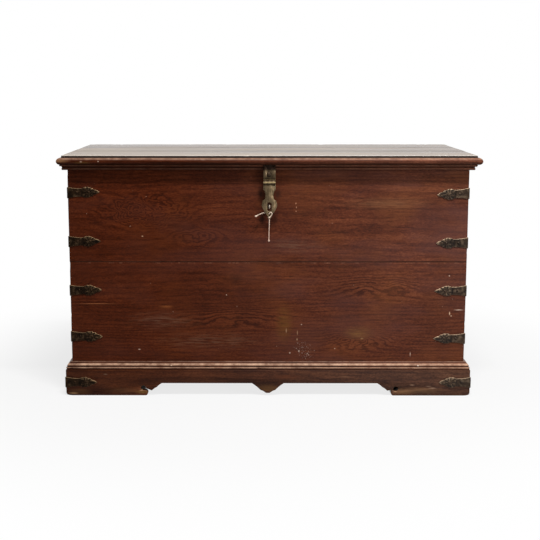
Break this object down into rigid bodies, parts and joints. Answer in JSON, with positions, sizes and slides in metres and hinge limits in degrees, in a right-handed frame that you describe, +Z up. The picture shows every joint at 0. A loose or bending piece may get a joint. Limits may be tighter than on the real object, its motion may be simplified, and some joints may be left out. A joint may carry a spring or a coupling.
{
  "type": "chest",
  "caption": "Wooden dowry chest with a hinged plank lid, moulded edges, iron corner straps, a hanging slotted hasp and a bracket-foot plinth.",
  "frame": {"origin": "on the floor, under the middle of the whole chest", "axes": "+X to the right along the length seen from the front, +Y to the back, +Z up"},
  "size_m": [1.282, 0.5976, 0.7469],
  "materials": {
    "box_wood": "old dark hardwood with a waxed, worn polish",
    "lid_wood": "bleached and dusty, rubbed dull",
    "moulding_wood": "dark hardwood, worn lighter on the edges",
    "plinth_wood": "scuffed dark hardwood",
    "inner_wood": "plain planed wood, unfinished",
    "strap_iron": "hand-forged dark iron, browned with age",
    "hasp_iron": "bronze-brown iron, rubbed smooth",
    "hinge_iron": "dark iron, lightly rusted",
    "cotton_cord": "off-white twisted cotton, soiled"
  },
  "bodies": {
    "box": {"back_board_lower": "box_wood", "back_board_upper": "box_wood", "back_left_corner_straps": "strap_iron", "back_right_corner_straps": "strap_iron", "box_hinge_screws": "hinge_iron", "corner_strap_nails": "strap_iron", "floor_board_1": "inner_wood", "floor_board_2": "inner_wood", "floor_board_3": "inner_wood", "floor_ledge_back": "inner_wood", "floor_ledge_front": "inner_wood", "front_board_lower": "box_wood", "front_board_upper": "box_wood", "front_left_corner_straps": "strap_iron", "front_right_corner_straps": "strap_iron", "hinge_pins": "hinge_iron", "left_board_lower": "box_wood", "left_board_upper": "box_wood", "left_hinge_box_leaf": "hinge_iron", "plinth_back": "inner_wood", "plinth_cap_front": "moulding_wood", "plinth_cap_left": "moulding_wood", "plinth_cap_right": "moulding_wood", "plinth_corner_blocks": "inner_wood", "plinth_corner_straps": "strap_iron", "plinth_front": "plinth_wood", "plinth_left": "plinth_wood", "plinth_right": "plinth_wood", "right_board_lower": "box_wood", "right_board_upper": "box_wood", "right_hinge_box_leaf": "hinge_iron", "staple_eye": "hasp_iron"},
    "lid": {"dust_moulding_front": "moulding_wood", "dust_moulding_left": "moulding_wood", "dust_moulding_right": "moulding_wood", "hasp_hinge_leaf": "hasp_iron", "hasp_lid_strap": "hasp_iron", "hasp_pin": "hasp_iron", "hasp_rivet": "hasp_iron", "hasp_strap_nails": "hasp_iron", "lid_batten_left": "inner_wood", "lid_batten_right": "inner_wood", "lid_board_back": "lid_wood", "lid_board_front": "lid_wood", "lid_board_middle": "lid_wood", "lid_nose_front": "moulding_wood", "lid_nose_left": "moulding_wood", "lid_nose_right": "moulding_wood", "lid_screws": "hinge_iron", "left_hinge_lid_leaf": "hinge_iron", "right_hinge_lid_leaf": "hinge_iron"},
    "hasp": {"tie_cord_back_knot": "cotton_cord", "tie_cord_end": "cotton_cord", "tie_cord_end_knot": "cotton_cord", "tie_cord_loop": "cotton_cord", "tie_cord_tail": "cotton_cord", "tie_cord_tail_knot": "cotton_cord", "tie_cord_tip_knot": "cotton_cord", "hasp_plate": "hasp_iron"}
  },
  "joints": [
    {"name": "lid_hinge", "type": "hinge", "parent": "box", "child": "lid", "pos_m": [0, 0.29315, 0.71935], "axis": [-1, 0, 0], "range_deg": [0, 100]},
    {"name": "hasp_hinge", "type": "hinge", "parent": "lid", "child": "hasp", "pos_m": [0.0035, -0.2867, 0.667], "axis": [-1, 0, 0], "range_deg": [-7, 140]}
  ]
}
